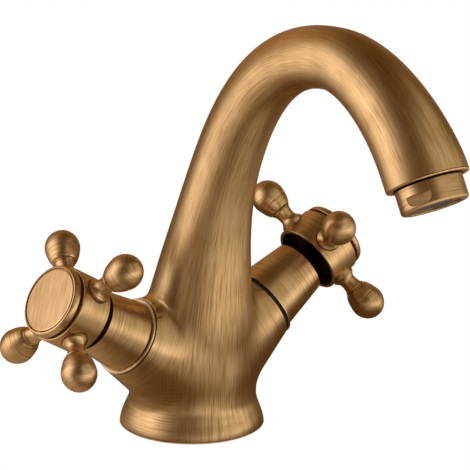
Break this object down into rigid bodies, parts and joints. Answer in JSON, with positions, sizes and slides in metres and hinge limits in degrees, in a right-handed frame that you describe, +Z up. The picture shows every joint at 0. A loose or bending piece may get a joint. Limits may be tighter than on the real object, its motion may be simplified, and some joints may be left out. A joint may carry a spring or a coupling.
{
  "type": "basin mixer tap",
  "caption": "Deck-mounted basin mixer tap with a cast body, a leaning gooseneck spout and hot and cold cross handles on rising spindles.",
  "frame": {"origin": "centre of the flat underside of the round foot", "axes": "+Z up, +X along the handles from hot to cold, the spout points to -Y"},
  "size_m": [0.145, 0.1629, 0.1562],
  "materials": {
    "bronze": "brushed antique bronze over brass",
    "brass": "machined brass",
    "rubber": "matt",
    "fibre": "matt vulcanised fibre",
    "steel": "plain stainless steel",
    "plastic": "moulded"
  },
  "bodies": {
    "fixture": {"body": "bronze", "base_seal": "rubber", "aerator_shell": "bronze", "aerator_insert": "plastic", "aerator_washer": "rubber", "hot_flange_ring": "bronze", "hot_sleeve": "bronze", "hot_headwork": "brass", "hot_gasket": "fibre", "cold_flange_ring": "bronze", "cold_sleeve": "bronze", "cold_headwork": "brass", "cold_gasket": "fibre"},
    "hot_jumper_assembly": {"hot_jumper": "brass", "hot_jumper_washer": "rubber"},
    "hot_handle": {"hot_spindle": "brass", "hot_spindle_seal": "rubber", "hot_hub": "bronze", "hot_handle_screw": "steel", "hot_cap": "bronze", "hot_index_disc": "bronze", "hot_arm_1": "bronze", "hot_arm_2": "bronze", "hot_arm_3": "bronze", "hot_arm_4": "bronze"},
    "cold_jumper_assembly": {"cold_jumper": "brass", "cold_jumper_washer": "rubber"},
    "cold_handle": {"cold_spindle": "brass", "cold_spindle_seal": "rubber", "cold_hub": "bronze", "cold_handle_screw": "steel", "cold_cap": "bronze", "cold_index_disc": "bronze", "cold_arm_1": "bronze", "cold_arm_2": "bronze", "cold_arm_3": "bronze", "cold_arm_4": "bronze"}
  },
  "joints": [
    {"name": "hot_lift", "type": "slide", "parent": "fixture", "child": "hot_jumper_assembly", "axis": [-0.8616, 0, 0.5075], "range_m": [0, 0.0075]},
    {"name": "hot_turn", "type": "hinge", "parent": "hot_jumper_assembly", "child": "hot_handle", "pos_m": [0, 0, 0.0204], "axis": [-0.8616, 0, 0.5075], "range_deg": [-1, 901]},
    {"name": "cold_lift", "type": "slide", "parent": "fixture", "child": "cold_jumper_assembly", "axis": [0.8616, 0, 0.5075], "range_m": [-0.00682, 0.00068]},
    {"name": "cold_turn", "type": "hinge", "parent": "cold_jumper_assembly", "child": "cold_handle", "pos_m": [0, 0, 0.0204], "axis": [0.8616, 0, 0.5075], "range_deg": [-819, 83]}
  ],
  "couplings": [
    {"joint": "hot_turn", "follows": "hot_lift", "rad_per_m": 2094.4},
    {"joint": "cold_turn", "follows": "cold_lift", "rad_per_m": 2094.4}
  ]
}
